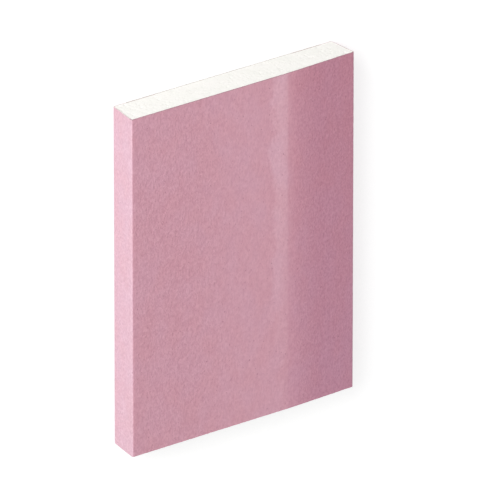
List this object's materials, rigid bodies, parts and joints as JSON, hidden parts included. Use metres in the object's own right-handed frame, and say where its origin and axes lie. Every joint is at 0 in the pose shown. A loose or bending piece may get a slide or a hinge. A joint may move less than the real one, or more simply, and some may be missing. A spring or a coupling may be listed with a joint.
{
  "type": "drywall sheet",
  "caption": "Cut piece of pink-faced gypsum board: white core between papers, one tapered long edge, folded paper edges and sawn ends; lines walls and ceilings.",
  "frame": {"origin": "middle of the back, on the surface that the board lies on", "axes": "+Z out of the pink face, up; +Y along the length, between the sawn ends; +X across the width, towards the tapered edge"},
  "size_m": [0.1098, 0.15, 0.015],
  "materials": {
    "gypsum": "matte",
    "pink_paper": "matte",
    "grey_paper": "matte"
  },
  "bodies": {
    "root": {"gypsum_core": "gypsum", "face_paper": "pink_paper", "back_paper": "grey_paper"}
  },
  "joints": []
}
